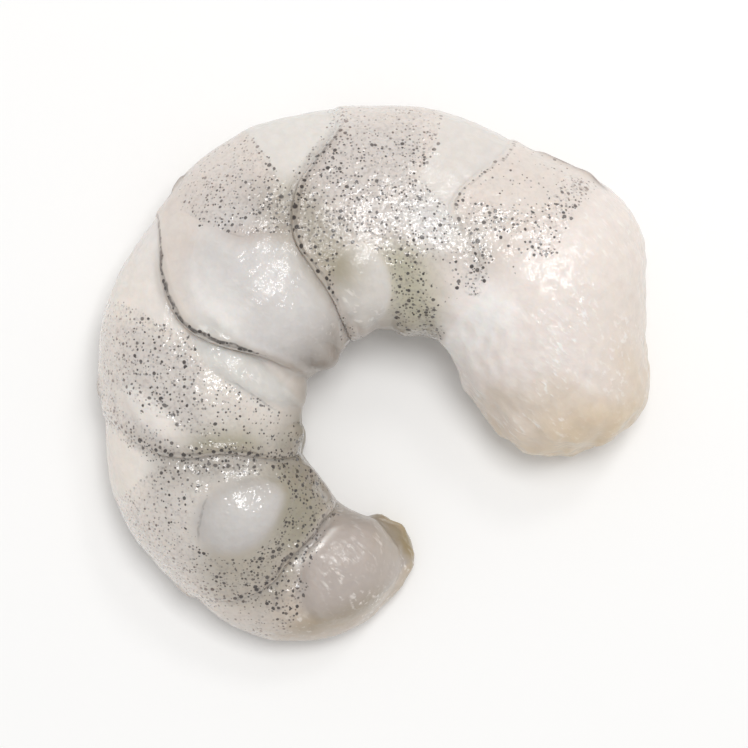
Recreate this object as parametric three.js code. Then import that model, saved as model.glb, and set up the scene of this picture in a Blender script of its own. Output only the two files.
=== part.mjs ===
// One raw white shrimp, peeled, without its head and tail fan, curled and lying on its right flank.
// Millimetres and degrees, +Z up, origin under the middle of the curl on the surface that it rests on.
// It is a single piece of flesh, so it is a single closed solid.
//
// The body is swept round the centre of its curl. A place on its skin has two coordinates:
//   station  the angle round the curl, from the neck on the right, over the top, to the tail below
//   girth    the angle round the body: 0 at the back, 90 on the upper flank, 180 at the belly, 270 below
// The segments lean back on the flanks, so a line round the body keeps its station only on the back.

import * as THREE from 'three';

// The body from end to end. Each profile has one row for every 20 degrees of station, from -20 to 280.
const FIRST_ROW = -20;
const ROW_SPACING = 20;
const BACK_RADIUS = [
  21.0, 22.5, 23.6, 27.1, 26.1, 26.3, 26.7, 26.9, 25.9, 25.2, 24.0, 23.7, 22.6, 21.5, 18.5, 15.0,
];
const BELLY_RADIUS = [
  12.6, 9.3, 7.5, 7.4, 7.5, 7.3, 7.2, 6.5, 6.7, 7.0, 6.8, 7.2, 7.5, 8.2, 9.2, 9.6,
];
const THICKNESS = [
  9.6, 11.4, 13.4, 14.9, 15.0, 14.6, 14.7, 14.8, 14.5, 14.0, 13.2, 12.4, 11.3, 9.8, 8.3, 6.8,
];

// How much fuller the flank is towards the belly than towards the back: from the head end, and over
// the stations where it changes, to the rest of the body.
const BELLY_FULLNESS = { head: -0.14, body: 0.14, changes: [30, 72] };

// The two ends: where they are, how far they round over, and how the neck's cut slants towards the belly.
const NECK = -11;
const NECK_ROUNDING = 3.0;
const NECK_SLANT = 6;
const NECK_SLANT_FADES_BY = 30;
const TAIL = 277;
const TAIL_ROUNDING = 4.6;

// How deep the underside is pressed flat by the flesh's own weight.
const PRESSED = 1.2;
const PRESS_SOFTNESS = 0.9;

// The hind edge of each segment: where it crosses the back, how far it leans back on the flank,
// how far it comes forward again lower down, the girths that it does so over, the drop behind it, and
// the girths that the drop fades over towards the belly.
const SEGMENT_EDGES = [
  { at: 65, lean: 8, leans: [25, 88], forward: 18, returns: [77, 110], drop: 0.5, fades: [60, 90] },
  { at: 98.5, lean: 17.5, leans: [30, 92], forward: 3.5, returns: [92, 135], drop: 0.5, fades: [140, 180] },
  { at: 138.5, lean: 17, leans: [15, 85], forward: 3.5, returns: [90, 130], drop: 1.1, fades: [120, 148] },
  { at: 179.5, lean: 12, leans: [10, 90], forward: -11, returns: [95, 150], drop: 0.5, fades: [140, 180] },
  { at: 222, lean: 14, leans: [0, 82], forward: -4.5, returns: [85, 125], drop: 0.7, fades: [140, 180] },
];
const DROP_GROWS = [45, 85];
const DROP_ON_BACK = 0.15;
const DROP_LENGTH = 0.8;
const SEGMENT_CROWN = 0.25;

// Muscle that bulges out of the flank between the edges, as domes with an elliptical foot.
// slope is how far a dome leans along the body for each degree round it.
const FLANK_DOMES = [
  { station: 24, girth: 96, halfAlong: 28, halfRound: 62, slope: 0, rise: 0.9 },
  { station: 99, girth: 128, halfAlong: 12.5, halfRound: 25, slope: 0, rise: 0.8 },
  { station: 134, girth: 111, halfAlong: 21, halfRound: 56, slope: 0, rise: 1.0 },
  { station: 161.5, girth: 116, halfAlong: 8.5, halfRound: 38, slope: 0.22, rise: 0.55 },
  { station: 179, girth: 61, halfAlong: 5.2, halfRound: 19, slope: 0.3, rise: 0.35 },
  { station: 214.5, girth: 96, halfAlong: 12.5, halfRound: 35, slope: 0, rise: 0.9 },
  { station: 262, girth: 112, halfAlong: 25, halfRound: 72, slope: 0, rise: 1.0 },
];

// The groove along the belly, and the stumps of the swimming legs on both sides of it.
const GROOVE_DEPTH = 0.6;
const GROOVE_HALF_GIRTH = 22;
const GROOVE_FADES = [20, 45, 205, 235];
const LEG_STATIONS = [75, 104, 134, 163, 193];
const LEG_STUMP = { girth: 156, halfAlong: 10, halfRound: 17, slope: 0, rise: 0.5 };

// How finely the solid is faceted.
const RING_SPACING = 3;
const END_RINGS = 5;
const SIDES = 38;

const degrees = Math.PI / 180;
const clamp = (x, low, high) => Math.min(Math.max(x, low), high);
const smoothstep = (from, to, x) => {
  const t = clamp((x - from) / (to - from), 0, 1);
  return t * t * (3 - 2 * t);
};

// A profile's value at any station, on one smooth curve through its rows.
function along(profile, station) {
  const last = profile.length - 1;
  const x = clamp((station - FIRST_ROW) / ROW_SPACING, 0, last);
  const i = Math.min(Math.floor(x), last - 1);
  const t = x - i;
  const [a, b, c, d] = [i - 1, i, i + 1, i + 2].map((k) => profile[clamp(k, 0, last)]);
  return b + 0.5 * t * (c - a + t * (2 * a - 5 * b + 4 * c - d + t * (3 * (b - c) + d - a)));
}

// The segment that a line round the body is in: the edges at its ends, and the line's share of the way.
// The neck and the tail count as edges that don't lean.
const STRAIGHT = { lean: 0, leans: [0, 90], forward: 0, returns: [90, 180], drop: 0, fades: [90, 180] };
const EDGES = [{ ...STRAIGHT, at: NECK }, ...SEGMENT_EDGES, { ...STRAIGHT, at: TAIL }];
function segmentOf(line) {
  const next = clamp(EDGES.findIndex((edge) => edge.at >= line), 1, EDGES.length - 1);
  const [start, end] = [EDGES[next - 1], EDGES[next]];
  return { start, end, share: (line - start.at) / (end.at - start.at) };
}

// Below, fold is the girth with both flanks folded together: 0 at the back, 180 at the belly.
// The station on the flank of a line round the body, which is known by its station on the back.
function stationOnFlank(line, fold) {
  const offset = (edge) =>
    edge.lean * smoothstep(...edge.leans, fold) - edge.forward * smoothstep(...edge.returns, fold);
  const { start, end, share } = segmentOf(line);
  return line + THREE.MathUtils.lerp(offset(start), offset(end), share);
}

// Each segment is crowned along its length. It starts low, behind the edge of the one ahead, and rises.
function segmentRelief(line, fold) {
  const { start, share } = segmentOf(line);
  const onFlank = THREE.MathUtils.lerp(DROP_ON_BACK, start.drop, smoothstep(...DROP_GROWS, fold));
  const drop = onFlank * (1 - smoothstep(...start.fades, fold));
  const dropped = start.drop > 0 ? smoothstep(0, DROP_LENGTH, line - start.at) * (1 - share) ** 3 : 0;
  return SEGMENT_CROWN * Math.sin(Math.PI * share) - drop * dropped;
}

function domeRelief(station, fold, dome) {
  const round = fold - dome.girth;
  const distance = Math.hypot(
    (station - dome.station - dome.slope * round) / dome.halfAlong,
    round / dome.halfRound,
  );
  return distance < 1 ? dome.rise * (1 - distance * distance) : 0;
}

function bellyRelief(station, fold) {
  const [rises, risen, falls, fallen] = GROOVE_FADES;
  const inGroove = smoothstep(rises, risen, station) * (1 - smoothstep(falls, fallen, station));
  const stumps = LEG_STATIONS.map((leg) => domeRelief(station, fold, { ...LEG_STUMP, station: leg }));
  return Math.max(...stumps) - GROOVE_DEPTH * inGroove * (1 - smoothstep(0, GROOVE_HALF_GIRTH, 180 - fold));
}

// How far the skin stands out from the plain swept body.
function relief(line, station, fold) {
  const domes = FLANK_DOMES.map((dome) => domeRelief(station, fold, dome));
  return segmentRelief(line, fold) + Math.max(...domes) + bellyRelief(station, fold);
}

// The underside is flattened on the surface, with a soft start.
function press(z) {
  if (z >= PRESS_SOFTNESS) return z;
  if (z <= -PRESS_SOFTNESS) return 0;
  return (z + PRESS_SOFTNESS) ** 2 / (4 * PRESS_SOFTNESS);
}

function bellyFullness(station) {
  const { head, body, changes } = BELLY_FULLNESS;
  return THREE.MathUtils.lerp(head, body, smoothstep(...changes, station));
}

// A point of the skin. fill is 1 along the body and falls to 0 at the tip of a rounded end.
function skinPoint(line, girth, fill) {
  const fold = girth > 180 ? 360 - girth : girth;
  const station = stationOnFlank(line, fold);
  const back = along(BACK_RADIUS, station);
  const belly = along(BELLY_RADIUS, station);
  const halfHeight = (back - belly) / 2;
  const halfThickness = along(THICKNESS, station) / 2;
  const towardsBack = Math.cos(girth * degrees);
  const upwards = Math.sin(girth * degrees);
  const outward = new THREE.Vector2(towardsBack / halfHeight, upwards / halfThickness).normalize();
  const bump = relief(line, station, fold);
  const x = halfHeight * towardsBack + bump * outward.x;
  const fuller = 1 - bellyFullness(station) * towardsBack;
  const z = halfThickness * upwards * fuller + bump * outward.y;
  const slantLeft = 1 - smoothstep(NECK, NECK_SLANT_FADES_BY, line);
  const angle = (station + NECK_SLANT * slantLeft * fill * towardsBack) * degrees;
  const radius = (back + belly) / 2 + fill * x;
  return new THREE.Vector3(
    radius * Math.cos(angle),
    radius * Math.sin(angle),
    press(halfThickness - PRESSED + fill * z),
  );
}

// Lines round the body, evenly spaced between segment edges, with one at each edge and one behind its drop.
function bodyLines(first, last) {
  const lines = [];
  const starts = [first, ...SEGMENT_EDGES.map((edge) => edge.at + DROP_LENGTH)];
  const stops = [...SEGMENT_EDGES.map((edge) => edge.at), last];
  starts.forEach((start, k) => {
    const steps = Math.ceil((stops[k] - start) / RING_SPACING);
    for (let step = 0; step <= steps; step++) {
      lines.push(THREE.MathUtils.lerp(start, stops[k], step / steps));
    }
  });
  return lines;
}

// Rings from neck to tail. On a rounded end they follow a quarter ellipse, closing in towards the tip.
function ringPlan() {
  const span = (rounding, station) =>
    rounding / degrees / ((along(BACK_RADIUS, station) + along(BELLY_RADIUS, station)) / 2);
  const neckSpan = span(NECK_ROUNDING, NECK);
  const tailSpan = span(TAIL_ROUNDING, TAIL);
  const ends = Array.from({ length: END_RINGS }, (_, k) => (90 * degrees * (k + 1)) / (END_RINGS + 1));
  const neckRings = ends.map((turn) => ({
    line: NECK + neckSpan * (1 - Math.cos(turn)),
    fill: Math.sin(turn),
  }));
  const bodyRings = bodyLines(NECK + neckSpan, TAIL - tailSpan).map((line) => ({ line, fill: 1 }));
  const tailRings = ends.reverse().map((turn) => ({
    line: TAIL - tailSpan * (1 - Math.cos(turn)),
    fill: Math.sin(turn),
  }));
  return [...neckRings, ...bodyRings, ...tailRings];
}

// The closed skin: the neck's tip, rings joined by pairs of triangles, and the tail's tip.
function shrimpGeometry() {
  const rings = ringPlan();
  const points = [skinPoint(NECK, 0, 0)];
  for (const ring of rings) {
    for (let side = 0; side < SIDES; side++) {
      points.push(skinPoint(ring.line, (side * 360) / SIDES, ring.fill));
    }
  }
  points.push(skinPoint(TAIL, 0, 0));

  const faces = [];
  const lastRing = rings.length - 1;
  const index = (ring, side) => 1 + ring * SIDES + (side % SIDES);
  for (let side = 0; side < SIDES; side++) {
    faces.push(0, index(0, side), index(0, side + 1));
    for (let ring = 0; ring < lastRing; ring++) {
      const [a, b] = [index(ring, side), index(ring + 1, side)];
      const [c, d] = [index(ring + 1, side + 1), index(ring, side + 1)];
      faces.push(a, b, c, a, c, d);
    }
    faces.push(points.length - 1, index(lastRing, side + 1), index(lastRing, side));
  }

  const geometry = new THREE.BufferGeometry().setFromPoints(points);
  geometry.setIndex(faces);
  geometry.computeVertexNormals();
  return geometry;
}

// The origin goes under the middle of the body's box.
function centred(geometry) {
  geometry.computeBoundingBox();
  const middle = geometry.boundingBox.getCenter(new THREE.Vector3());
  return geometry.translate(-middle.x, -middle.y, -geometry.boundingBox.min.z);
}

const flesh = new THREE.MeshStandardMaterial({ color: 0xd8d2cc, roughness: 0.35, metalness: 0 });
const shrimp = new THREE.Mesh(centred(shrimpGeometry()), flesh);
shrimp.name = 'shrimp_meat';

const part = new THREE.Group();
part.add(shrimp);

export default part;
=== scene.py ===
import math

import bpy
import numpy as np
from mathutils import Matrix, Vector


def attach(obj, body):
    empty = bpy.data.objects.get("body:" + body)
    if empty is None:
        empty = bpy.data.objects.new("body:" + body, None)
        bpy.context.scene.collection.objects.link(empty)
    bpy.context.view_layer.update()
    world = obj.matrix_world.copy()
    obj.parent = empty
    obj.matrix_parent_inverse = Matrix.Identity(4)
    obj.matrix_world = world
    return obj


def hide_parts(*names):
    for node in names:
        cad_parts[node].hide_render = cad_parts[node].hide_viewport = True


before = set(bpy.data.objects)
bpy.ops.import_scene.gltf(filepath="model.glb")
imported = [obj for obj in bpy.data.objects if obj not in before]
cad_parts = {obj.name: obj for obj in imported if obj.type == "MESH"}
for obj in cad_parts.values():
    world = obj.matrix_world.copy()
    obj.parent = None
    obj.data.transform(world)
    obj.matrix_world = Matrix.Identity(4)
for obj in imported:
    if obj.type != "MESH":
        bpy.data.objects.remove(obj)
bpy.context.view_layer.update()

MM = 0.001

# The swept body, in millimetres and degrees, as the solid has it.
# station is the angle round the curl, girth the angle round the body: 0 at the back, 90 on the upper flank.
FIRST_ROW, ROW_SPACING = -20, 20
BACK_RADIUS = [
    21.0, 22.5, 23.6, 27.1, 26.1, 26.3, 26.7, 26.9, 25.9, 25.2, 24.0, 23.7, 22.6, 21.5, 18.5, 15.0,
]
BELLY_RADIUS = [
    12.6, 9.3, 7.5, 7.4, 7.5, 7.3, 7.2, 6.5, 6.7, 7.0, 6.8, 7.2, 7.5, 8.2, 9.2, 9.6,
]
THICKNESS = [
    9.6, 11.4, 13.4, 14.9, 15.0, 14.6, 14.7, 14.8, 14.5, 14.0, 13.2, 12.4, 11.3, 9.8, 8.3, 6.8,
]
HEAD_FULLNESS, BODY_FULLNESS, FULLNESS_CHANGES = -0.14, 0.14, (30, 72)
NECK, NECK_ROUNDING, NECK_SLANT, NECK_SLANT_FADES_BY = -11, 3.0, 6, 30
TAIL, TAIL_ROUNDING = 277, 4.6
PRESSED, PRESS_SOFTNESS = 1.2, 0.9

# Hind edges of the segments: the station where each crosses the back, how far it leans back on the flank and
# over which girths, how far it comes forward again lower down and over which girths, the drop behind it, and
# the girths that the drop fades over. The neck and the tail count as edges that don't lean.
EDGE_AT = np.array([NECK, 65, 98.5, 138.5, 179.5, 222, TAIL], float)
EDGE_LEAN = np.array([0, 8, 17.5, 17, 12, 14, 0], float)
EDGE_LEANS = np.array([(0, 90), (25, 88), (30, 92), (15, 85), (10, 90), (0, 82), (0, 90)], float)
EDGE_FORWARD = np.array([0, 18, 3.5, 3.5, -11, -4.5, 0], float)
EDGE_RETURNS = np.array([(90, 180), (77, 110), (92, 135), (90, 130), (95, 150), (85, 125), (90, 180)], float)
EDGE_DROP = np.array([0, 0.5, 0.5, 1.1, 0.5, 0.7, 0], float)
DROP_FADES = np.array([
    (90, 180), (60, 90), (140, 180), (120, 148), (140, 180), (140, 180), (90, 180),
], float)
HIND_EDGES = range(1, len(EDGE_AT) - 1)

# The girths that every drop grows over, its depth on the back, and how far along the body it reaches.
DROP_GROWS, DROP_ON_BACK, DROP_LENGTH = (45, 85), 0.15, 0.8

# How far each segment stands out in its middle.
SEGMENT_CROWN = 0.25

# Bulges of muscle: station, girth, half length along, half length round, slope, rise.
DOMES = {
    "head": (24, 96, 28, 62, 0, 0.9),
    "second": (99, 128, 12.5, 25, 0, 0.8),
    "third": (134, 111, 21, 56, 0, 1.0),
    "fourth": (161.5, 116, 8.5, 38, 0.22, 0.55),
    "oval": (179, 61, 5.2, 19, 0.3, 0.35),
    "fifth": (214.5, 96, 12.5, 35, 0, 0.9),
    "tail": (262, 112, 25, 72, 0, 1.0),
}
# How softly a bulge runs out at its foot, and how full its side is.
DOME_FOOT, DOME_SIDE = 0.25, 0.8

# The groove along the belly, and the stumps of the swimming legs on both sides of it.
GROOVE_DEPTH, GROOVE_HALF_GIRTH = 0.6, 22
GROOVE_STARTS, GROOVE_STOPS = (20, 45), (205, 235)
LEG_STATIONS = [75, 104, 134, 163, 193]
LEG_GIRTH, LEG_HALF_ALONG, LEG_HALF_ROUND, LEG_RISE = 156, 10, 17, 0.5

# Small soft lumps in the skin: station, girth, half width and height.
LUMPS = [
    (212, 52, 1.6, 0.28), (195, 64, 1.4, 0.20), (204, 40, 1.5, 0.15), (152, 50, 1.8, 0.12),
    (-4, 104, 1.0, 0.35), (-2, 74, 0.9, 0.28), (-6, 50, 0.9, 0.25), (0, 132, 1.0, 0.35), (-7, 88, 0.7, 0.25),
]

# Soft unevenness of the skin: height, distance across a lump and seed.
RIPPLES = [(0.08, 6.0, 1), (0.025, 2.2, 2), (0.008, 0.9, 3)]
HEAD_RIPPLES, HEAD_RIPPLES_FADE = [(0.05, 1.8, 6)], (35, 60)
NECK_RIPPLES, NECK_RIPPLES_FADE = [(0.22, 3.6, 4), (0.06, 1.5, 5)], (NECK, NECK + 12)

# Lines in the skin, each through places given by station and girth.
TRACES = {
    "first ribbon": [(50.4, 32), (50.6, 42), (50.3, 50), (49.2, 66), (47.9, 76)],
    "first row": [(65, 77), (61.5, 76), (58.5, 74), (55.4, 72), (51.8, 71)],
    "first corner": [(68, 88), (64.2, 90), (62, 92), (59.9, 96), (58.2, 104), (55.7, 111)],
    "first flap": [(61.5, 11), (58, 12), (54, 12), (50.5, 12), (46.5, 15)],
    "second front": [(79.5, 12), (79.5, 31), (79.4, 46), (80.4, 58), (81.5, 69), (84, 76)],
    "second beads": [(114, 76), (113.1, 82), (111.3, 91), (109.8, 102), (107.3, 110)],
    "second patch": [(84, 106), (82, 116), (78, 130), (73, 142), (67, 156)],
    "third corner": [(119, 68), (117, 76), (115.5, 81), (112.7, 87)],
    "third row": [(126, 40), (129.5, 48), (132, 56)],
    "third front": [(116.2, 2), (115.4, 30), (114.4, 48), (114.4, 63), (115.8, 76)],
    "third fold": [(134, 34), (132.8, 52), (130.8, 64), (127.4, 75), (122, 80), (117.4, 86)],
    "fourth front": [(157.6, 14), (156.2, 48), (157.3, 59), (157.1, 76)],
    "fourth lobe": [(163, 94), (166.1, 104), (168, 113), (170.6, 122), (173.3, 130), (176, 141)],
    "fourth lens": [(176, 42), (178.5, 55), (181.5, 67), (186, 80)],
    "oval row": [(174, 38), (172.6, 48), (174.9, 63), (176.9, 70), (180.3, 76), (184.5, 81)],
    "fifth front": [(197.5, 16), (195.8, 38), (193.4, 54), (192.2, 70)],
    "fifth row": [(192.6, 68), (193.8, 80), (194.4, 88), (195.9, 99), (199.5, 114)],
    "fifth side": [(203.5, 88), (205.5, 80), (208.5, 73), (211.5, 67), (215, 62)],
    "fifth top": [(199, 76), (199.5, 96), (202, 118)],
    "fifth patch": [(224, 66), (230, 82), (233, 98), (231, 118), (226, 132), (216, 143), (205, 150)],
    "inner rim": [(205.6, 153), (218.3, 160), (233.8, 164), (241, 150)],
    "sixth clump": [(235, 81), (238, 73), (240, 66), (237.5, 66)],
    "sixth trail": [(239, 62), (241, 45), (241.6, 20)],
    "tail crease": [
        (253.4, 46), (247.8, 60), (243.6, 77), (240.6, 91), (239.8, 106), (240.4, 125), (243, 150),
    ],
    "tail lip": [(245, 132), (243, 118), (240.5, 102), (239.5, 94)],
    "tail membrane": [(250, 40), (255, 47), (260, 52), (266, 56)],
    "head flecks": [(13, 98), (20, 90), (26, 80), (31, 72)],
    "back tick 1": [(129.5, 9), (131.5, 7), (133.5, 7)],
    "back tick 2": [(172, 5), (174, 6), (176, 8)],
    "back tick 3": [(218, 6), (221, 7), (224, 10)],
}

# Marks that only the upper flank has.
ONE_SIDED = ("first flap", "back tick 1", "back tick 2", "back tick 3")

# The girths at which a hind edge is followed as a line.
EDGE_GIRTHS = np.arange(0, 165, 8.0)

# Grooves and ridges along lines: height, how far beside the line, half width, and how far the ends run out.
FOLDS = {
    "third fold": (-0.12, 0, 0.55, 1.5),
    "fourth lobe": (-0.14, 0, 0.45, 1.5),
    "fifth side": (-0.20, 0, 0.45, 1.5),
    "fifth top": (-0.20, 0, 1.1, 1.5),
    "tail crease": (-0.45, 0, 0.60, 1.5),
    "second patch": (-0.20, 2.6, 0.8, 1.5),
    "inner rim": (0.22, 0, 0.45, 1.5),
    "tail lip": (0.20, 0, 0.3, 1.5),
    "first flap": (0.30, 0, 0.7, 1.5),
    "back tick 1": (0.20, 0, 0.5, 0.4),
    "back tick 2": (0.20, 0, 0.5, 0.4),
    "back tick 3": (0.20, 0, 0.5, 0.4),
    "edge 1": (0.06, 0.45, 0.35, 1.5),
    "edge 2": (0.08, 0.45, 0.35, 1.5),
    "edge 3": (0.16, 0.45, 0.35, 1.5),
    "edge 4": (0.08, 0.45, 0.35, 1.5),
    "edge 5": (0.10, 0.45, 0.35, 1.5),
    "second front": (0.06, 0, 0.4, 1.5),
    "third front": (0.06, 0, 0.4, 1.5),
    "fourth front": (0.05, 0, 0.4, 1.5),
}

# The torn fringe round the tip of the tail: the stations that it grows over, the distances from the middle
# of the curl that it narrows over and to what share, the heights that it ends between, and its width.
FRINGE_GROWS = (260, 270)
FRINGE_NARROWS, FRINGE_NARROWED = (10.5, 15.5), 0.3
FRINGE_TOP, FRINGE_WIDTH = (2.0, 3.3), 1.5

# The tears in the fringe: the share of its width that they leave, their length and their seed.
FRINGE_TORN_TO, FRINGE_TEARS = 0.6, (3.0, 7)

# How finely the skin is meshed.
LINES = 372
TOP_SIDES, UNDER_SIDES = 156, 84
END_LINES = 14

# The lines on a drop, as shares of its length, and the share past which the even lines go on.
DROP_LINES, CLEAR_OF_DROP = np.array([0.25, 0.5, 0.75, 1.0]), 1.1

# Farther than any two places on the skin, in millimetres.
FAR = 99.0


def smoothstep(low, high, x):
    t = np.clip((x - low) / (high - low), 0, 1)
    return t * t * (3 - 2 * t)


def mix(a, b, t):
    return a + (b - a) * t


def band(x, low, high, soft):
    """1 between low and high, easing to 0 outside over soft."""
    return smoothstep(low - soft, low + soft, x) * (1 - smoothstep(high - soft, high + soft, x))


def most(fields):
    return np.max(list(fields), axis=0)


def through(rows, x):
    """The value at place x, counted in rows, on one smooth curve through the rows."""
    last = len(rows) - 1
    i = np.minimum(np.floor(x).astype(int), last - 1)
    t = x - i
    if rows.ndim > 1:
        t = t[:, None]
    a, b, c, d = (rows[np.clip(i + k, 0, last)] for k in (-1, 0, 1, 2))
    return b + 0.5 * t * (c - a + t * (2 * a - 5 * b + 4 * c - d + t * (3 * (b - c) + d - a)))


def along(profile, station):
    """A profile's value at each station."""
    rows = np.asarray(profile, float)
    return through(rows, np.clip((station - FIRST_ROW) / ROW_SPACING, 0, len(rows) - 1))


def ripple(points, length, seed, waves=40):
    """Smooth random lumps about length across at points, mostly between -1 and 1."""
    draw = np.random.default_rng(seed)
    ways = draw.normal(size=(waves, 3))
    ways *= (2 * math.pi / length * draw.uniform(0.6, 1.5, waves) / np.linalg.norm(ways, axis=1))[:, None]
    phases = draw.uniform(0, 2 * math.pi, waves)
    total = np.zeros(points.shape[:-1])
    for way, phase in zip(ways, phases):
        total += np.sin(points @ way + phase)
    return total / math.sqrt(waves)


def edge_offset(k, fold):
    lean = EDGE_LEAN[k] * smoothstep(EDGE_LEANS[k, ..., 0], EDGE_LEANS[k, ..., 1], fold)
    return lean - EDGE_FORWARD[k] * smoothstep(EDGE_RETURNS[k, ..., 0], EDGE_RETURNS[k, ..., 1], fold)


def edge_station(k, fold):
    """Where hind edge k is on the flank."""
    return EDGE_AT[k] + edge_offset(k, fold)


def segments(line):
    """The number of the edge that each line's segment starts at, and the line's share of the way."""
    start = np.clip(np.searchsorted(EDGE_AT, line, side="left"), 1, len(EDGE_AT) - 1) - 1
    return start, (line - EDGE_AT[start]) / (EDGE_AT[start + 1] - EDGE_AT[start])


def station_on_flank(line, fold):
    start, share = segments(line)
    return line + mix(edge_offset(start, fold), edge_offset(start + 1, fold), share)


def dome(station, fold, name):
    """1 at the middle of a bulge, 0 at its foot, below 0 outside."""
    at, girth, half_along, half_round, slope, _ = DOMES[name]
    aside = fold - girth
    return 1 - ((station - at - slope * aside) / half_along) ** 2 - (aside / half_round) ** 2


def coarse_relief(line, station, fold):
    """How far the skin stands out from the plain swept body, as on the solid."""
    start, share = segments(line)
    on_flank = mix(DROP_ON_BACK, EDGE_DROP[start], smoothstep(*DROP_GROWS, fold))
    fading = smoothstep(DROP_FADES[start, ..., 0], DROP_FADES[start, ..., 1], fold)
    drop = on_flank * (1 - fading) * (EDGE_DROP[start] > 0)
    relief = SEGMENT_CROWN * np.sin(math.pi * share)
    relief -= drop * smoothstep(0, DROP_LENGTH, line - EDGE_AT[start]) * (1 - share) ** 3
    risen = []
    for name, (*_, rise) in DOMES.items():
        inside = dome(station, fold, name)
        inside = (inside + np.hypot(inside, DOME_FOOT)) / 2
        risen.append(rise * inside ** DOME_SIDE)
    relief += most(risen)
    in_groove = smoothstep(*GROOVE_STARTS, station) * (1 - smoothstep(*GROOVE_STOPS, station))
    relief -= GROOVE_DEPTH * in_groove * (1 - smoothstep(0, GROOVE_HALF_GIRTH, 180 - fold))
    round_leg = ((fold - LEG_GIRTH) / LEG_HALF_ROUND) ** 2
    stumps = most(1 - ((station - leg) / LEG_HALF_ALONG) ** 2 - round_leg for leg in LEG_STATIONS)
    return relief + LEG_RISE * np.maximum(stumps, 0)


def press(z):
    """The underside is flattened on the surface, with a soft start."""
    soft = (z + PRESS_SOFTNESS) ** 2 / (4 * PRESS_SOFTNESS)
    return np.where(z >= PRESS_SOFTNESS, z, np.where(z <= -PRESS_SOFTNESS, 0, soft))


def line_plan():
    """Lines round the body from neck to tail, and how full the body is there: below 1 on the rounded ends."""
    def span(rounding, station):
        """The degrees along the body that an end rounds over."""
        return math.degrees(rounding / ((along(BACK_RADIUS, station) + along(BELLY_RADIUS, station)) / 2))

    neck = span(NECK_ROUNDING, np.array(float(NECK)))
    tail = span(TAIL_ROUNDING, np.array(float(TAIL)))
    turn = np.radians(90 * np.arange(1, END_LINES + 1) / (END_LINES + 1))
    stops = [NECK + neck, *EDGE_AT[1:-1], TAIL - tail]
    per_degree = LINES / (stops[-1] - stops[0])
    body = [np.array([stops[0]])]
    for low, high in zip(stops, stops[1:]):
        plain = np.linspace(low, high, int((high - low) * per_degree) + 1)[1:]
        foot = low + DROP_LENGTH * DROP_LINES if low != stops[0] else []
        body.append(np.unique(np.concatenate([foot, plain[plain > low + DROP_LENGTH * CLEAR_OF_DROP]])))
    body = np.concatenate(body)
    neck_lines = NECK + neck * (1 - np.cos(turn))
    tail_lines = (TAIL - tail * (1 - np.cos(turn)))[::-1]
    fill = np.concatenate([np.sin(turn), np.ones(len(body)), np.sin(turn)[::-1]])
    return np.concatenate([neck_lines, body, tail_lines]), fill


def swept(line, fill, girth):
    """Points of the solid's own surface, not yet pressed, and the station and fold of each."""
    fold = np.where(girth > 180, 360 - girth, girth)
    station = station_on_flank(line, fold)
    back, belly = along(BACK_RADIUS, station), along(BELLY_RADIUS, station)
    half_height, half_thick = (back - belly) / 2, along(THICKNESS, station) / 2
    to_back, up = np.cos(np.radians(girth)), np.sin(np.radians(girth))
    out_x, out_z = to_back / half_height, up / half_thick
    size = np.hypot(out_x, out_z)
    bump = coarse_relief(line, station, fold)
    x = half_height * to_back + bump * out_x / size
    fullness = mix(HEAD_FULLNESS, BODY_FULLNESS, smoothstep(*FULLNESS_CHANGES, station))
    z = half_thick * up * (1 - fullness * to_back) + bump * out_z / size
    slant = NECK_SLANT * (1 - smoothstep(NECK, NECK_SLANT_FADES_BY, line)) * fill * to_back
    angle = np.radians(station + slant)
    radius = (back + belly) / 2 + fill * x
    points = np.stack([radius * np.cos(angle), radius * np.sin(angle), half_thick - PRESSED + fill * z], -1)
    return points, station, fold


def outward(points):
    """Unit normals of a grid of points that closes round its second direction."""
    round_sides = np.roll(points, -1, axis=1) - np.roll(points, 1, axis=1)
    normals = np.cross(np.gradient(points, axis=0), round_sides)
    return normals / np.maximum(np.linalg.norm(normals, axis=-1, keepdims=True), 1e-9)


def scales(station, fold):
    """Millimetres for a degree along the body and for a degree round it."""
    back, belly = along(BACK_RADIUS, station), along(BELLY_RADIUS, station)
    radius = (back + belly) / 2 + (back - belly) / 2 * np.cos(np.radians(fold))
    section = np.hypot((back - belly) / 2, along(THICKNESS, station) / 2) / math.sqrt(2)
    return np.radians(radius), np.radians(section)


def smooth_places(places, steps=4):
    """The same line with more places, on one smooth curve."""
    places = np.asarray(places, float)
    last = len(places) - 1
    return through(places, np.linspace(0, last, last * steps + 1))


def trail(station, fold, places):
    """How far each point is from a line, negative on one side, how far along it, and the line's length."""
    per_station, per_girth = scales(station, fold)
    places = smooth_places(places)
    middles = (places[1:] + places[:-1]) / 2
    lengths = np.hypot(*(scales(middles[:, 0], middles[:, 1]) * np.diff(places, axis=0).T))
    starts = np.concatenate([[0], np.cumsum(lengths)])
    off = np.full(station.shape, FAR)
    reached = np.zeros(station.shape)
    for (s0, g0), (s1, g1), start, length in zip(places, places[1:], starts, lengths):
        x, y = (station - s0) * per_station, (fold - g0) * per_girth
        to_x, to_y = (s1 - s0) * per_station, (g1 - g0) * per_girth
        t = np.clip((x * to_x + y * to_y) / (to_x ** 2 + to_y ** 2), 0, 1)
        distance = np.hypot(x - t * to_x, y - t * to_y)
        nearer = distance < np.abs(off)
        off = np.where(nearer, distance * np.where(to_x * y - to_y * x < 0, -1, 1), off)
        reached = np.where(nearer, start + t * length, reached)
    return off, reached, starts[-1]


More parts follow.
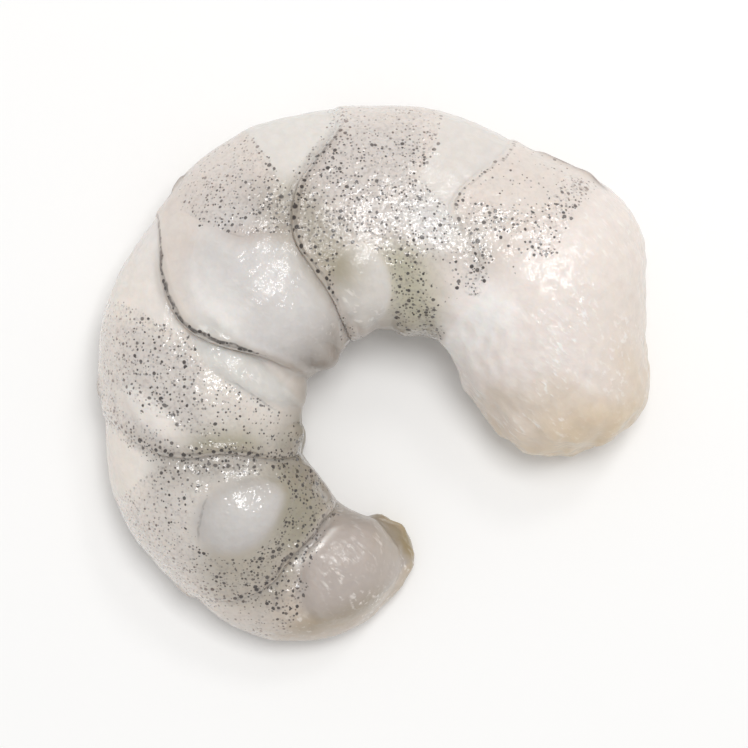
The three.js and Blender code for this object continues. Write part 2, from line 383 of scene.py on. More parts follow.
def all_trails(station, fold, girth):
    signed = np.where(girth > 180, girth - 360, girth)
    found = {}
    for name, places in TRACES.items():
        found[name] = trail(station, signed if name in ONE_SIDED else fold, places)
    for k in HIND_EDGES:
        places = np.stack([edge_station(k, EDGE_GIRTHS), EDGE_GIRTHS], -1)
        found[f"edge {k}"] = trail(station, fold, places)
    return found


def tail_fringe(station, points):
    """How much of the thin brown fringe there is: low round the tail's tip, and most on the belly's side."""
    radius = np.hypot(points[..., 0], points[..., 1])
    side = mix(1, FRINGE_NARROWED, smoothstep(*FRINGE_NARROWS, radius))
    torn = mix(FRINGE_TORN_TO, 1, smoothstep(-0.8, 0.6, ripple(points, *FRINGE_TEARS)))
    return smoothstep(*FRINGE_GROWS, station) * side * torn * (1 - smoothstep(*FRINGE_TOP, points[..., 2]))


def fine_relief(line, station, fold, points, trails):
    """Folds, lips and small lumps that the solid doesn't have."""
    def uneven(ripples):
        return sum(height * ripple(points, length, seed) for height, length, seed in ripples)

    relief = uneven(RIPPLES)
    relief += (1 - smoothstep(*HEAD_RIPPLES_FADE, station)) * uneven(HEAD_RIPPLES)
    relief += (1 - smoothstep(*NECK_RIPPLES_FADE, line)) * uneven(NECK_RIPPLES)
    per_station, per_girth = scales(station, fold)
    for at, girth, half_width, height in LUMPS:
        distance = np.hypot((station - at) * per_station, (fold - girth) * per_girth)
        relief += height * np.exp(-((distance / half_width) ** 2))
    relief += FRINGE_WIDTH * tail_fringe(station, points)
    for name, (height, aside, half_width, run_out) in FOLDS.items():
        off, reached, length = trails[name]
        ends = smoothstep(0, run_out, reached) * (1 - smoothstep(length - run_out, length, reached))
        relief += height * ends * np.exp(-(((off - aside) / half_width) ** 2))
    return relief


def stretch(k, lines, station, fold, points):
    """How much longer the way from hind edge k is on the skin than on the plain swept body."""
    crest = points[np.argmin(np.abs(lines - EDGE_AT[k]))]
    plain = np.abs(station - edge_station(k, fold)) * scales(station, fold)[0]
    return np.clip(np.linalg.norm(points - crest, axis=-1) / np.maximum(plain, 0.01), 1, 6)


def with_tips(grid):
    """A grid's values in a row, with those for the two tips, which take the nearest line's mean."""
    return np.concatenate([grid.reshape(-1, *grid.shape[2:]), grid[:1].mean(1), grid[-1:].mean(1)])


def make_shrimp():
    lines, fill = line_plan()
    girths = np.concatenate([
        np.linspace(0, 180, TOP_SIDES, endpoint=False),
        np.linspace(180, 360, UNDER_SIDES, endpoint=False),
    ])
    line, girth = np.meshgrid(lines, girths, indexing="ij")
    fills = np.repeat(fill[:, None], len(girths), axis=1)
    points, station, fold = swept(line, fills, girth)
    trails = all_trails(station, fold, girth)
    points = points + fine_relief(line, station, fold, points, trails)[..., None] * outward(points)
    points[..., 2] = press(points[..., 2])
    for k in HIND_EDGES:
        off, reached, length = trails[f"edge {k}"]
        trails[f"edge {k}"] = off * stretch(k, lines, station, fold, points), reached, length

    flat = with_tips(points)
    box_middle = (flat.min(0) + flat.max(0)) / 2
    flat[:, :2] -= box_middle[:2]

    rows, sides = points.shape[:2]
    index = np.arange(rows * sides).reshape(rows, sides)
    ahead = np.roll(index, -1, axis=1)
    quads = np.stack([index[:-1], index[1:], ahead[1:], ahead[:-1]], -1).reshape(-1, 4)
    neck_tip, tail_tip = rows * sides, rows * sides + 1
    caps = [(neck_tip, a, b) for a, b in zip(index[0], ahead[0])]
    caps += [(tail_tip, b, a) for a, b in zip(index[-1], ahead[-1])]

    mesh = bpy.data.meshes.new("shrimp_flesh")
    mesh.from_pydata((flat * MM).tolist(), [], quads.tolist() + caps)
    mesh.validate()
    mesh.shade_smooth()
    return mesh, station, fold, points, trails


def write_number(mesh, name, grid):
    values = with_tips(grid).astype(np.float32)
    mesh.attributes.new(name, "FLOAT", "POINT").data.foreach_set("value", values)


def write_colour(mesh, name, grid):
    values = with_tips(grid)
    values = np.concatenate([values, np.ones((len(values), 1))], -1).astype(np.float32)
    mesh.attributes.new(name, "FLOAT_COLOR", "POINT").data.foreach_set("color", values.reshape(-1))


def linear(*rgb):
    """A display colour of 0 to 255 as linear light."""
    shown = np.array(rgb) / 255
    return np.where(shown <= 0.04045, shown / 12.92, ((shown + 0.055) / 1.055) ** 2.4)


# The speckled skin of each segment: where it starts along the body, where it stops or the hind edge that it
# stops at, how dense its fine speckles are, and how dense its coarse ones. Each is a list of girths and the
# values there.
SKINS = {
    "first": (
        ([0, 90], [47, 47]), 1,
        ([0, 25, 60, 85, 96], [0.12, 0.2, 0.3, 0.3, 0]),
        ([0, 30, 60, 88, 94], [0.02, 0.06, 0.12, 0.2, 0]),
    ),
    "second": (
        ([0, 31, 46, 58, 69, 76, 90, 110], [79.5, 79.5, 79.4, 80.4, 81.5, 76, 68, 58]), 2,
        ([0, 20, 40, 55, 90, 104, 114, 130], [0.35, 0.5, 0.75, 1.0, 1.0, 0.7, 0.3, 0]),
        ([0, 25, 45, 60, 100, 112, 120], [0.0, 0.15, 0.4, 0.55, 0.55, 0.3, 0]),
    ),
    "third": (
        ([0, 30, 48, 63, 76, 90], [116, 115.4, 114.4, 114.4, 116, 116]),
        ([0, 36, 52, 64, 75, 80, 86], [131, 134, 132.8, 130.8, 127.4, 122, 117.4]),
        ([0, 25, 45, 62, 85, 95], [0.25, 0.4, 0.75, 0.85, 0.75, 0]),
        ([0, 30, 45, 65, 85, 95], [0.0, 0.1, 0.35, 0.35, 0.5, 0]),
    ),
    "fourth": (
        (
            [0, 48, 59, 80, 94, 104, 113, 122, 130, 141, 180],
            [157.6, 156.2, 157.3, 157, 163, 166, 168, 170.6, 173, 176, 182],
        ), 4,
        ([0, 30, 50, 75, 88, 98, 125, 150, 170], [0.5, 0.7, 0.85, 1.0, 0.9, 0.5, 0.5, 0.3, 0]),
        ([0, 30, 50, 70, 92, 105, 130, 150], [0.1, 0.15, 0.3, 0.7, 0.6, 0.2, 0.25, 0]),
    ),
    "fifth": (
        ([0, 38, 54, 70, 80, 180], [198, 195.8, 193.4, 192, 190, 190]), 5,
        ([0, 30, 55, 70, 100, 140, 165], [0.5, 0.75, 0.8, 0.75, 0.5, 0.7, 0.1]),
        ([0, 30, 55, 80, 100, 150], [0.1, 0.2, 0.3, 0.25, 0.1, 0.1]),
    ),
    "sixth": (
        ([0, 180], [224, 224]), ([0, 180], [246, 246]),
        ([0, 20, 55, 80, 95], [0.1, 0.3, 0.6, 0.5, 0]),
        ([0, 20, 55, 80, 95], [0.0, 0.15, 0.3, 0.2, 0]),
    ),
}

# How softly the speckled skin ends, and where the haze in it grows behind its start, in degrees of station.
SKIN_SOFTNESS, HAZE_GROWS = 0.4, (-1, 5)

# Denser speckles along lines in the skin: half width in mm, and density of the fine and of the coarse ones.
SPECKLED_TRACES = {
    "first ribbon": (1.3, 1.0, 1.8), "first row": (1.3, 0.8, 1.0), "first corner": (1.1, 1.0, 1.0),
    "second beads": (1.3, 1.0, 0.9), "second patch": (2.2, 1.1, 1.2), "third corner": (1.7, 1.0, 1.0),
    "third row": (1.0, 0.8, 0.8), "fifth row": (1.1, 1.0, 0.9), "fifth patch": (2.5, 1.2, 1.4),
    "sixth clump": (1.9, 1.4, 1.6), "sixth trail": (1.6, 0.6, 0.45), "oval row": (0.8, 0.8, 0.6),
    "edge 2": (1.0, 0.8, 0.3), "edge 4": (1.0, 1.0, 0.9), "edge 5": (1.0, 1.0, 0.5),
}

# The shares of its half width that such a line fades between.
NEAR_FADES = (0.55, 1.15)

# Rows of beads and dark strokes: strength of the beads and the girths they fade out at, then of the stroke.
INKED = {
    "edge 1": (0.75, (10, 90), 0.25, (14, 84)),
    "edge 2": (1.00, (8, 128), 0.40, (30, 130)),
    "edge 3": (1.00, (10, 118), 0.90, (14, 116)),
    "edge 4": (1.00, (4, 140), 0.35, (66, 138)),
    "edge 5": (1.00, (6, 104), 0.65, (74, 140)),
    "first flap": (0.0, (-9, 189), 0.9, (-9, 189)),
    "first corner": (0.9, (-9, 189), 0.1, (-9, 189)),
    "second front": (0.7, (14, 62), 0.0, (0, 0)),
    "third front": (0.85, (22, 74), 0.15, (22, 74)),
    "third fold": (0.0, (0, 0), 0.12, (30, 90)),
    "fourth front": (0.35, (8, 52), 0.0, (0, 0)),
    "fourth lobe": (0.1, (104, 140), 0.22, (104, 138)),
    "oval row": (0.8, (-9, 189), 0.0, (0, 0)),
    "fifth row": (0.8, (-9, 189), 0.0, (0, 0)),
    "fifth front": (0.4, (16, 70), 0.0, (0, 0)),
    "fifth side": (0.2, (60, 90), 0.25, (60, 84)),
    "inner rim": (0.2, (100, 189), 0.4, (100, 189)),
    "back tick 1": (0.0, (0, 0), 0.9, (-9, 189)),
    "back tick 2": (0.0, (0, 0), 0.9, (-9, 189)),
    "back tick 3": (0.0, (0, 0), 0.7, (-9, 189)),
}

# The bulges without skin, and those of them that show fibres.
LOBES = ("second", "third", "fourth", "fifth")
FIBROUS_LOBES = LOBES[:3]

# The ink lies this far ahead of a hind edge, on the skin and not on the drop behind it. It fades over these
# distances from its line, and over these girths past its span: the beads and the strokes.
INK_AHEAD, INK_FADES = 0.2, (0.8, 1.1)
BEADS_FADE, STROKES_FADE = 6, 8

# The beads of each line are counted from another place, so that no two rows are alike.
RUN_STEP = 100

# Speckles and ink are brown on the back, and turn dark grey over these girths.
BROWN_FADES = (28, 58)


def near(trails, name, half_width):
    start, end = (share * half_width for share in NEAR_FADES)
    return 1 - smoothstep(start, end, np.abs(trails[name][0]))


def close_to(trails, name, half_width):
    """As near, but fading all the way from the line."""
    return np.exp(-((trails[name][0] / half_width) ** 2))


def speckle_densities(station, fold, trails):
    """How much of the skin the fine and the coarse speckles fill, from 0 to 1."""
    fine, coarse, haze = (np.zeros(station.shape) for _ in range(3))
    for starts, stops, fine_amounts, coarse_amounts in SKINS.values():
        front = np.interp(fold, *starts)
        hind = edge_station(stops, fold) if isinstance(stops, int) else np.interp(fold, *stops)
        amount = np.interp(fold, *fine_amounts)
        inside = band(station, front, hind, SKIN_SOFTNESS)
        fine = np.maximum(fine, amount * inside)
        coarse = np.maximum(coarse, np.interp(fold, *coarse_amounts) * inside)
        haze = np.maximum(haze, amount * inside * smoothstep(*HAZE_GROWS, station - front))
    for name, (half_width, fine_amount, coarse_amount) in SPECKLED_TRACES.items():
        close = near(trails, name, half_width)
        fine = np.maximum(fine, fine_amount * close)
        coarse = np.maximum(coarse, coarse_amount * close)
    bare = {name: smoothstep(-0.15, 0.15, dome(station, fold, name)) for name in LOBES}
    bare["third"] *= 1 - smoothstep(-0.4, 0.4, trails["third fold"][0])
    skin = (1 - most(bare.values())) * (1 - close_to(trails, "fourth lens", 0.75))
    return fine * skin, coarse * skin, haze * skin


def ink_fields(fold, trails):
    """The nearest inked line: how far off, how far along it, and the strength of its beads and stroke."""
    seam = np.full(fold.shape, FAR)
    run, beads, stroke = (np.zeros(fold.shape) for _ in range(3))
    for number, (name, (bead, bead_span, drawn, drawn_span)) in enumerate(INKED.items()):
        off, reached, length = trails[name]
        off = off - (INK_AHEAD if name.startswith("edge") else 0)
        nearer = np.abs(off) < np.abs(seam)
        ends = smoothstep(0, 1.0, reached) * (1 - smoothstep(length - 1.0, length, reached))
        seam = np.where(nearer, off, seam)
        run = np.where(nearer, reached + RUN_STEP * number, run)
        beads = np.where(nearer, bead * ends * band(fold, *bead_span, BEADS_FADE), beads)
        stroke = np.where(nearer, drawn * ends * band(fold, *drawn_span, STROKES_FADE), stroke)
    inked = 1 - smoothstep(*INK_FADES, np.abs(seam))
    return {"seam": seam, "run": run, "beads": beads * inked, "stroke": stroke * inked}


def wet_film(station, fold, fine, trails):
    """How thick the wet film is, and how rough: most on the speckled skin, least on the head."""
    blister = smoothstep(0, 0.6, dome(station, fold, "fifth"))
    flecks = close_to(trails, "head flecks", 1.8)
    shiny = most([0.7 * blister, 0.9 * flecks])
    dull = 0.7 * close_to(trails, "second beads", 2.2)
    bare_skin = mix(0.38, 0.42, smoothstep(40, 56, station))
    thickness = mix(bare_skin, 1, most([smoothstep(0.2, 0.6, fine), shiny])) * (1 - dull)
    return thickness, mix(0.3, 1, most([smoothstep(0.3, 0.8, fine), shiny]))


def fibre_and_glint_strength(station, fold, points, trails):
    """How clearly white fibres show: in patches on the head, on the tail and on the muscle bulges, and most
    along the head flecks, where the white is partly painted glints.
    """
    head = 1 - smoothstep(40, 60, station)
    tail = smoothstep(240, 250, station) * (1 - 0.6 * smoothstep(100, 140, fold))
    lobes = most(smoothstep(0, 0.5, dome(station, fold, name)) for name in FIBROUS_LOBES)
    patches = mix(0.15, 1, smoothstep(-0.3, 0.9, ripple(points, 6.0, 31)))
    # Along the head flecks the white goes past the fibres' own: partly painted glints.
    flecks = 1.3 * close_to(trails, "head flecks", 1.6)
    return most([0.6 * head * patches, 0.6 * tail * patches, 0.45 * lobes * patches, flecks])


def flesh_colour(station, fold, points, trails, haze):
    """The flesh's colour at every point, without its speckles: its own colour, with painted shade in creases
    and towards the hole in the curl, and painted light and highlights in a few places.
    """
    def lobe(name, low=-0.1, high=0.35):
        return smoothstep(low, high, dome(station, fold, name))

    def wedge(k, name, to_girth):
        behind_edge = smoothstep(-0.3, 0.3, station - edge_station(k, fold))
        ahead_of_skin = smoothstep(-0.2, 0.2, trails[name][0])
        return behind_edge * ahead_of_skin * (1 - smoothstep(to_girth - 12, to_girth, fold))

    def low(start, end):
        return smoothstep(start, end, fold)

    def upper(start, end):
        return 1 - smoothstep(start, end, fold)

    ahead_of_4 = station < edge_station(4, fold)
    fifth_patch = close_to(trails, "fifth patch", 2.8) * (1 - lobe("fifth", 0.1, 0.6))
    clouds = 0.5 + 0.5 * ripple(points, 5.0, 21)
    rear = smoothstep(140, 235, station)
    colour = mix(linear(225, 215, 207), linear(214, 206, 198), rear[..., None])
    head = 1 - smoothstep(42, 52, station - 4 * smoothstep(40, 85, fold))
    head_end = np.interp(fold, [96, 110, 128, 152], [56, 70, 65, 56])
    lower_head = low(94, 106) * (1 - smoothstep(-6, 6, station - head_end))
    neck = 1 - smoothstep(-13, 22, station + 5 * ripple(points, 6.0, 12))
    head_belly = low(100, 165) * (1 - smoothstep(-5, 25, station))
    head_back = upper(30, 95) * (1 - smoothstep(5, 55, station))
    layers = [
        (0.3 * clouds, (234, 228, 222)),
        (0.6 * band(station, 48, 68, 4) * upper(60, 85), (230, 220, 212)),
        (most([head, lower_head]), (238, 229, 223)),
        (wedge(1, "second front", 100), (226, 220, 214)),
        (wedge(2, "third front", 84), (228, 223, 217)),
        (wedge(3, "fourth front", 84), (235, 229, 224)),
        (wedge(4, "fifth front", 84), (252, 247, 241)),
        (0.9 * band(station, 150, 232, 12) * upper(35, 65), (240, 231, 222)),
        (0.7 * band(station, 150, 240, 12) * low(35, 65), (226, 219, 211)),
        (0.47 * smoothstep(0.4, 1.0, haze), (203, 197, 193)),
        # Painted sheen: a near-white patch on the second segment's upper flank, where the wet skin glints.
        (0.35 * band(station, 70, 81, 3) * band(fold, 82, 106, 6), (238, 238, 237)),
        (0.2 * band(station, 226, 246, 3) * upper(50, 85), (193, 178, 164)),
        (lobe("second"), (218, 213, 207)),
        (lobe("third", -0.3, 0.55), (216, 212, 209)),
        # Darker lower part of the third bulge: partly its own greyer tone, partly painted shade towards the
        # hole.
        (0.85 * lobe("third") * low(112, 158), (160, 151, 143)),
        (0.8 * lobe("third") * smoothstep(136, 148, station) * upper(92, 112), (244, 240, 236)),
        (lobe("fourth", -0.3, 0.4), (216, 213, 208)),
        (0.5 * close_to(trails, "fourth lens", 0.9), (232, 226, 220)),
        (0.85 * lobe("oval", 0, 0.8), (240, 234, 228)),
        (lobe("fifth", -0.3, 0.5), (197, 192, 188)),
        # Painted light: the middle of the fifth bulge is lighter, as if the top of its dome were lit.
        (lobe("fifth", 0.3, 1.2), (211, 208, 205)),
        (0.5 * close_to(trails, "third fold", 0.7) * band(fold, 66, 90, 6), (190, 173, 162)),
        (0.9 * close_to(trails, "second patch", 2.6) * (1 - lobe("second")) * low(94, 114), (189, 184, 161)),
        (0.9 * close_to(trails, "second beads", 2.1), (166, 157, 136)),
        (0.5 * close_to(trails, "third corner", 2.0), (178, 170, 162)),
        (0.2 * close_to(trails, "edge 4", 3.5) * band(fold, 75, 140, 12), (184, 178, 164)),
        (0.9 * close_to(trails, "edge 4", 1.7) * band(fold, 84, 124, 10) * ahead_of_4, (146, 139, 102)),
        (0.6 * close_to(trails, "fifth row", 1.8), (168, 162, 154)),
        (0.6 * close_to(trails, "sixth clump", 1.6), (150, 140, 130)),
        (0.35 * close_to(trails, "edge 5", 1.6) * band(fold, 40, 120, 10), (176, 168, 150)),
        (0.9 * fifth_patch, (180, 171, 156)),
        (0.9 * fifth_patch * low(86, 118), (157, 150, 131)),
        (smoothstep(236, 246, station), (202, 189, 175)),
        (lobe("tail", -0.1, 0.4), (188, 178, 171)),
        (0.6 * close_to(trails, "tail membrane", 1.4), (158, 142, 116)),
        # Painted highlight: a near-white line along the ridge of the tail's lip.
        (0.7 * close_to(trails, "tail lip", 0.4), (244, 238, 232)),
        (0.5 * close_to(trails, "first corner", 1.4), (196, 189, 181)),
        # Lighter, cooler lower flank of the head: partly its own paler tone, partly painted light where the
        # steep slope falls into shade.
        (0.8 * low(98, 112) * band(station, 34, 58, 8), (250, 244, 240)),
        (0.6 * most([head_belly, head_back]), (222, 207, 190)),
        (neck, (217, 198, 171)),
        # Painted shade: darker low on the flank, towards the belly and the hole in the curl, behind the head.
        (0.75 * low(128, 168) * smoothstep(48, 60, station), (150, 140, 129)),
        (0.7 * band(station, 178, 206, 5) * low(148, 160), (132, 124, 104)),
        # Painted shade along hind edges 2 to 5, in the creases there.
        *(
            (0.4 * near(trails, f"edge {k}", 0.9) * band(fold, 40, 150, 10), (178, 168, 158))
            for k in HIND_EDGES[1:]
        ),
        *((0.6 * close_to(trails, f"back tick {k}", 0.45), (112, 96, 86)) for k in (1, 2, 3)),
        (0.6 * close_to(trails, "first flap", 0.45), (128, 110, 98)),
        (0.5 * smoothstep(258, 279, station) * low(50, 150), (160, 144, 118)),
        (0.9 * smoothstep(0, 0.8, tail_fringe(station, points)), (156, 140, 108)),
    ]
    for amount, shade in layers:
        colour = mix(colour, linear(*shade), np.clip(amount, 0, 1)[..., None])
    return colour


# The sockets of the first colour, the second and the result on a node that mixes colours.
FIRST_COLOUR, SECOND_COLOUR, MIXED_COLOUR = 6, 7, 2


class Nodes:
    """Short calls that add nodes to a material."""

    def __init__(self, name):
        self.material = bpy.data.materials.new(name)
        self.material.use_nodes = True
        self.tree = self.material.node_tree
        self.shader = self.tree.nodes["Principled BSDF"]

    def add(self, kind, settings=None, **inputs):
        node = self.tree.nodes.new("ShaderNode" + kind)
        for key, value in (settings or {}).items():
            setattr(node, key, value)
        for key, value in inputs.items():
            self.put(value, node.inputs[key.replace("_", " ")])
        return node

    def put(self, value, socket):
        if isinstance(value, bpy.types.NodeSocket):
            self.tree.links.new(value, socket)
        else:
            socket.default_value = value

    def math(self, operation, *values):
        node = self.add("Math", {"operation": operation})
        for value, socket in zip(values, node.inputs):
            self.put(value, socket)
        return node.outputs[0]

    def times(self, *values):
        total = values[0]
        for value in values[1:]:
            total = self.math("MULTIPLY", total, value)
        return total

    def ramp(self, value, low, high, start=0.0, end=1.0):
        spans = {"From_Min": low, "From_Max": high, "To_Min": start, "To_Max": end}
        node = self.add("MapRange", {"interpolation_type": "SMOOTHSTEP"}, Value=value, **spans)
        return node.outputs["Result"]

    def blend(self, factor, first, second, how="MIX"):
        node = self.add("Mix", {"data_type": "RGBA", "blend_type": how})
        self.put(factor, node.inputs["Factor"])
        self.put(first, node.inputs[FIRST_COLOUR])
        self.put(second, node.inputs[SECOND_COLOUR])
        return node.outputs[MIXED_COLOUR]

    def fact(self, name, output="Fac"):
        return self.add("Attribute", {"attribute_name": name}).outputs[output]

    def noise(self, place, size_mm, detail=2.0, output="Fac"):
        return self.add("TexNoise", Vector=place, Scale=1 / (size_mm * MM), Detail=detail).outputs[output]

    def uneven(self, place, noise, spans):
        """Noise of a size and a detail, spread from one span of values to another."""
        return self.ramp(self.noise(place, *noise), *spans)


# The speckles: millimetres across a cell that holds one dot, the radius of the smallest and of the biggest
# dot as a share of the cell, the strength of the faintest, and the share of the cells that is filled at most.
DOTS = {
    "coarse": (0.52, 0.24, 0.38, 0.8, 0.62),
    "fine": (0.29, 0.28, 0.42, 0.4, 0.78),
}

# How far the cells are off a regular grid, as a share, and the shares of a dot's radius that its edge fades
# between. Then how much the dots are pulled out of round, and the size of the pulls, in millimetres.
CELL_DISORDER, DOT_EDGE = 0.85, (0.7, 1.1)
DOT_JOG, DOT_JOG_SIZE = 0.15, 0.4

# Noise in the flesh: size in millimetres and detail, then the noise values that it works between and what it
# gives there. The mottle is all over, clumps gather the speckles, and murk lies under the fine ones.
MOTTLE = (0.8, 4), (0.3, 0.7, 0.97, 1.02)
CLUMPS = (1.8, 2), (0.35, 0.65, 0.6, 1.3)
MURK = (0.32, 1), (0.45, 0.7, 0, 0.3)
RAGGED_STROKE = (0.7, 2), (0.38, 0.62, 0.35, 1)

# The white fibres: direction in degrees, how much longer they are than wide, width in millimetres, and the
# noise values that they appear between.
FIBRE_TURN, FIBRE_STRETCH, FIBRE_SIZE, FIBRE_SHOWS = 45, 3, 0.4, (0.54, 0.72)

# The inked lines, in millimetres: how far they wander and over what length, the distance between beads, how
# far a bead lies aside, its radius, and the thickness of a stroke. A bead's place is a share of its stretch
# of the row, and the edges fade between shares of the radius and of the thickness.
LINE_WANDER, LINE_WANDER_SIZE = 0.7, 1.6
BEAD_PITCH = 0.76
BEAD_PLACE, BEAD_ASIDE, BEAD_RADIUS = (0.30, 0.70), (-0.14, 0.14), (0.10, 0.21)
FAINT_BEAD_SHARE = 0.45
THIN_STROKE, STROKE_GROWTH = 0.07, 0.17
BEAD_EDGE, STROKE_EDGE = (0.7, 1.15), (0.5, 1.2)

# Display colours of 0 to 255: white fibres, which along the head flecks are partly painted glints, the murk
# under fine speckles, and the ink on the flank and on the back. Then how strongly each of the two inks
# covers.
FIBRE_AND_GLINT_WHITE, MURK_GREY = (250, 245, 240), (150, 141, 137)
INK_GREY, INK_BROWN = (58, 51, 49), (108, 84, 74)
INK_STRENGTH = (0.95, 0.75)

# The flesh's gloss, how far light goes into it, in metres, and the gloss of the wet film.
FLESH = {
    "Roughness": 0.34,
    "IOR": 1.42,
    "Subsurface Weight": 0.7,
    "Subsurface Radius": (1.0, 0.8, 0.65),
    "Subsurface Scale": 0.0016,
    "Coat Roughness": 0.07,
    "Coat IOR": 1.52,
}

# Ripples of the wet film: size in millimetres and height, all over and on the speckled skin. Then the height
# of the fibres, and how deep all of these go in the flesh and in the film, in millimetres.
BROAD_RIPPLE, SKIN_RIPPLE, FIBRE_HEIGHT = (1.2, 0.38), (0.55, 0.26), 0.32
BUMPS = {"Normal": 0.25, "Coat Normal": 0.75}


def speckles(n, place, density, cell_mm, small, big, faintest):
    """Round dots, at most one to a cell, and only as many as the density allows."""
    cells = n.add("TexVoronoi", Vector=place, Scale=1 / (cell_mm * MM), Randomness=CELL_DISORDER)
    draw = n.add("SeparateColor", Color=cells.outputs["Color"])
    size = n.ramp(draw.outputs["Red"], 0.0, 1.0, small, big)
    dot = n.ramp(n.math("DIVIDE", cells.outputs["Distance"], size), *DOT_EDGE, 1.0, 0.0)
    there = n.math("LESS_THAN", draw.outputs["Green"], density)
    return n.times(dot, there, n.ramp(draw.outputs["Blue"], 0, 1, faintest, 1.0))


def inked_lines(n, place):
    """Beads in rows, and thin ragged strokes."""
    wander = n.math("SUBTRACT", n.noise(place, LINE_WANDER_SIZE), 0.5)
    seam = n.math("ADD", n.fact("seam"), n.times(wander, LINE_WANDER))
    step = n.math("DIVIDE", n.fact("run"), BEAD_PITCH)
    draw = n.add("TexWhiteNoise", {"noise_dimensions": "1D"}, W=n.math("FLOOR", step))
    draw = n.add("SeparateColor", Color=draw.outputs["Color"])
    middle = n.ramp(draw.outputs["Red"], 0, 1, *BEAD_PLACE)
    on_row = n.times(n.math("SUBTRACT", n.math("FRACT", step), middle), BEAD_PITCH)
    aside = n.math("SUBTRACT", seam, n.ramp(draw.outputs["Green"], 0, 1, *BEAD_ASIDE))
    reach = n.math("SQRT", n.math("ADD", n.math("POWER", on_row, 2), n.math("POWER", aside, 2)))
    size = n.ramp(draw.outputs["Blue"], 0, 1, *BEAD_RADIUS)
    size = n.times(size, n.ramp(n.fact("beads"), 0, 1, FAINT_BEAD_SHARE, 1))
    bead = n.times(n.ramp(n.math("DIVIDE", reach, size), *BEAD_EDGE, 1.0, 0.0), n.fact("beads"))
    ragged = n.uneven(place, *RAGGED_STROKE)
    thickness = n.math("ADD", THIN_STROKE, n.times(n.fact("stroke"), STROKE_GROWTH))
    line = n.ramp(n.math("DIVIDE", n.math("ABSOLUTE", seam), thickness), *STROKE_EDGE, 1.0, 0.0)
    return n.math("MAXIMUM", bead, n.times(line, ragged, n.fact("stroke")))


def flesh_material():
    n = Nodes("raw_flesh")
    place = n.add("TexCoord").outputs["Object"]
    jog = n.add("VectorMath", {"operation": "MULTIPLY_ADD"})
    pulls = n.noise(place, DOT_JOG_SIZE, output="Color")
    for value, socket in zip((pulls, (DOT_JOG * MM,) * 3, place), jog.inputs):
        n.put(value, socket)
    jogged = jog.outputs[0]

    colour = n.blend(1.0, n.fact("tone", "Color"), n.uneven(place, *MOTTLE), "MULTIPLY")
    slanting = n.add("Mapping", {"vector_type": "TEXTURE"}, Vector=place)
    slanting.inputs["Rotation"].default_value = (0, 0, math.radians(FIBRE_TURN))
    slanting.inputs["Scale"].default_value = (1, FIBRE_STRETCH, 1)
    fibres = n.noise(slanting.outputs[0], FIBRE_SIZE)
    white = n.times(n.ramp(fibres, *FIBRE_SHOWS), n.fact("grain"))
    colour = n.blend(white, colour, (*linear(*FIBRE_AND_GLINT_WHITE), 1))

    murk = n.times(n.uneven(place, *MURK), n.fact("fine"))
    colour = n.blend(murk, colour, (*linear(*MURK_GREY), 1))

    clumps = n.uneven(place, *CLUMPS)
    ink = inked_lines(n, place)
    for name, (*dot, filled) in DOTS.items():
        density = n.times(n.fact(name), clumps, filled)
        ink = n.math("MAXIMUM", ink, speckles(n, jogged, density, *dot))
    dark = n.blend(n.fact("brown"), (*linear(*INK_GREY), 1), (*linear(*INK_BROWN), 1))
    strength = n.ramp(n.fact("brown"), 0, 1, *INK_STRENGTH)
    colour = n.blend(n.times(ink, strength), colour, dark)

    shader = n.shader
    n.put(colour, shader.inputs["Base Color"])
    n.put(n.fact("film"), shader.inputs["Coat Weight"])
    for name, value in FLESH.items():
        shader.inputs[name].default_value = value

    # The wet film: soft ripples all over, and rougher ones with a fine honeycomb where the skin is speckled.
    broad_size, broad_height = BROAD_RIPPLE
    skin_size, skin_height = SKIN_RIPPLE
    film = n.times(n.noise(place, broad_size, 2), broad_height)
    film = n.math("ADD", film, n.times(n.noise(place, skin_size, 1), n.fact("wet"), skin_height))
    film = n.math("ADD", film, n.times(fibres, n.fact("grain"), FIBRE_HEIGHT))
    for socket, height_mm in BUMPS.items():
        bump = n.add("Bump", Distance=height_mm * MM, Height=film)
        n.put(bump.outputs["Normal"], shader.inputs[socket])
    return n.material


mesh, station, fold, surface, trails = make_shrimp()
shrimp = bpy.data.objects.new("shrimp_flesh", mesh)
bpy.context.scene.collection.objects.link(shrimp)

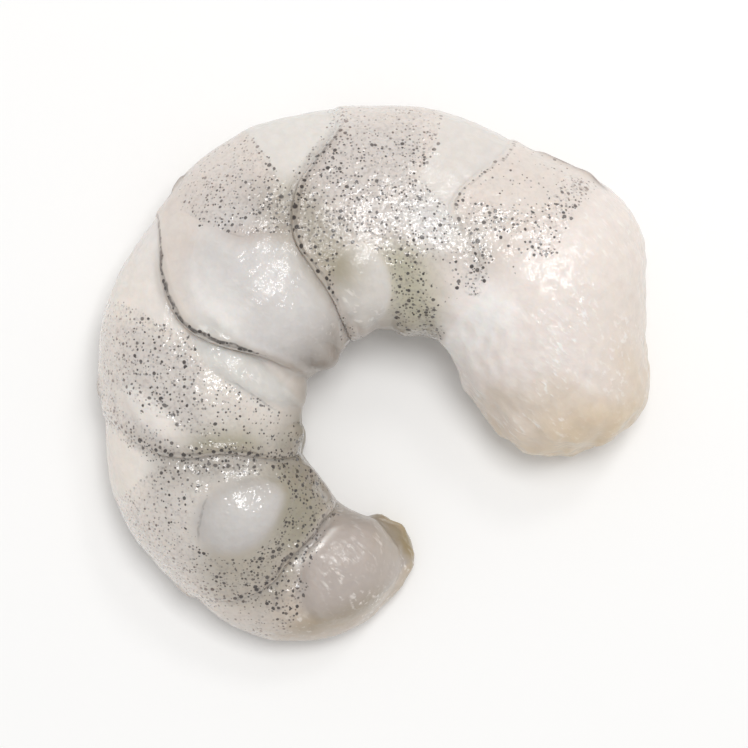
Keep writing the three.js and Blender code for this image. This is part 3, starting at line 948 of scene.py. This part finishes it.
fine, coarse, haze = speckle_densities(station, fold, trails)
film, wet = wet_film(station, fold, fine, trails)
numbers = {
    "fine": fine,
    "coarse": coarse,
    "brown": 1 - smoothstep(*BROWN_FADES, fold),
    "grain": fibre_and_glint_strength(station, fold, surface, trails),
    "wet": wet,
    "film": film,
    **ink_fields(fold, trails),
}
for name, grid in numbers.items():
    write_number(mesh, name, grid)
write_colour(mesh, "tone", flesh_colour(station, fold, surface, trails, haze))
mesh.materials.append(flesh_material())

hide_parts("shrimp_meat")
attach(shrimp, "root")

# The floor, with its width in metres.
FLOOR_WIDTH, FLOOR_WHITE = 3, (0.95, 0.945, 0.935, 1)

bpy.ops.mesh.primitive_plane_add(size=FLOOR_WIDTH)
floor = bpy.context.object
floor.name = "floor"
floor_material = bpy.data.materials.new("white_table")
floor_material.use_nodes = True
floor_shader = floor_material.node_tree.nodes["Principled BSDF"]
floor_shader.inputs["Base Color"].default_value = FLOOR_WHITE
floor.data.materials.append(floor_material)

# Light: the strength of the white surroundings, and each lamp's tilt from straight overhead and azimuth, in
# degrees, its width in metres and its power in watts.
SURROUNDINGS = 0.55
LAMPS = {
    "overhead": (15, 62, 0.38, 4.4),
    "side": (42, 62, 0.16, 0.8),
}

world = bpy.data.worlds.new("studio")
world.use_nodes = True
background = world.node_tree.nodes["Background"]
background.inputs["Color"].default_value = (1, 1, 1, 1)
background.inputs["Strength"].default_value = SURROUNDINGS
bpy.context.scene.world = world


def softbox(name, tilt, azimuth, width, power):
    """A square lamp a metre away that faces the shrimp."""
    lamp = bpy.data.lights.new(name, "AREA")
    lamp.size = width
    lamp.energy = power
    lamp_object = bpy.data.objects.new(name, lamp)
    lamp_object.rotation_euler = (0, math.radians(tilt), math.radians(azimuth))
    lamp_object.location = lamp_object.rotation_euler.to_matrix() @ Vector((0, 0, 1))
    bpy.context.scene.collection.objects.link(lamp_object)


for name, lamp in LAMPS.items():
    softbox(name, *lamp)

# The camera, straight above: focal length in millimetres and height in metres.
CAMERA_LENS, CAMERA_HEIGHT = 200, 0.36

camera = bpy.data.cameras.new("camera")
camera.lens = CAMERA_LENS
camera_object = bpy.data.objects.new("camera", camera)
camera_object.location = (0, 0, CAMERA_HEIGHT)
bpy.context.scene.collection.objects.link(camera_object)
bpy.context.scene.camera = camera_object
bpy.context.scene.view_settings.view_transform = "Standard"
